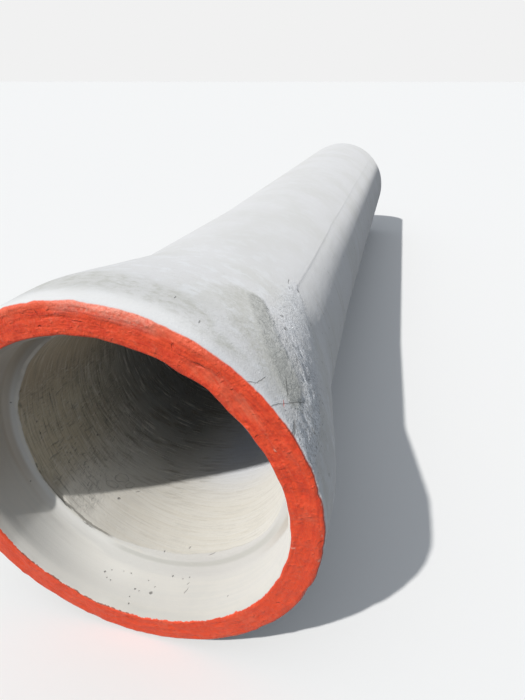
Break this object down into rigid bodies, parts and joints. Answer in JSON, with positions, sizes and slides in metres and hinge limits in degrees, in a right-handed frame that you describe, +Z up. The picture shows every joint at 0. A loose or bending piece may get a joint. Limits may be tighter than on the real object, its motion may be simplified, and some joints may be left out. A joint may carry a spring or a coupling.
{
  "type": "concrete culvert pipe",
  "caption": "Reinforced concrete culvert pipe with a flared socket at one end and a plain spigot at the other, laid end to end to carry water under a road.",
  "frame": {"origin": "on the level floor that the pipe lies on, under the middle of its overall length and width", "axes": "+Z up, +Y along the pipe from the mouth of its socket to its spigot, +X to the right of somebody who looks into the socket; the pipe's own axis dips 1.34 degrees towards the spigot"},
  "size_m": [1.162, 5.1824, 1.1655],
  "materials": {
    "cast_concrete": "smooth cast grey concrete, with the socket's end face brushed over in orange-red paint"
  },
  "bodies": {
    "root": {"culvert_pipe": "cast_concrete"}
  },
  "joints": []
}
